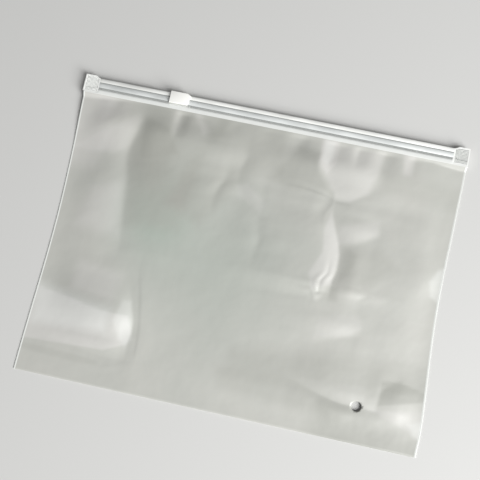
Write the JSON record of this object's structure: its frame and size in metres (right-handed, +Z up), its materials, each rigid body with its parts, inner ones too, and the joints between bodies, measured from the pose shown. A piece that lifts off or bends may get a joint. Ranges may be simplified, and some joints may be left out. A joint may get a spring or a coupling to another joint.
{
  "type": "zip bag",
  "caption": "Empty frosted plastic bag lying flat, with a slider zip along its top edge and a vent hole near one bottom corner.",
  "frame": {"origin": "centre of the bag's outline, on the surface that it lies on", "axes": "+X along the zip, towards the vent hole's side; +Y from the bottom fold to the zip; +Z up, out of the front panel"},
  "size_m": [0.28, 0.215, 0.006],
  "materials": {
    "frosted_film": "frosted, satin, slightly translucent",
    "zip_rail": "smooth, milky translucent",
    "slider": "smooth moulded white"
  },
  "bodies": {
    "bag": {"film_pouch": "frosted_film", "front_zip_rail": "zip_rail", "rear_zip_rail": "zip_rail"},
    "slider": {"zip_slider": "slider"}
  },
  "joints": [
    {"name": "slider_slide", "type": "slide", "parent": "bag", "child": "slider", "axis": [1, 0, 0], "range_m": [-0.0521, 0.1906]}
  ]
}
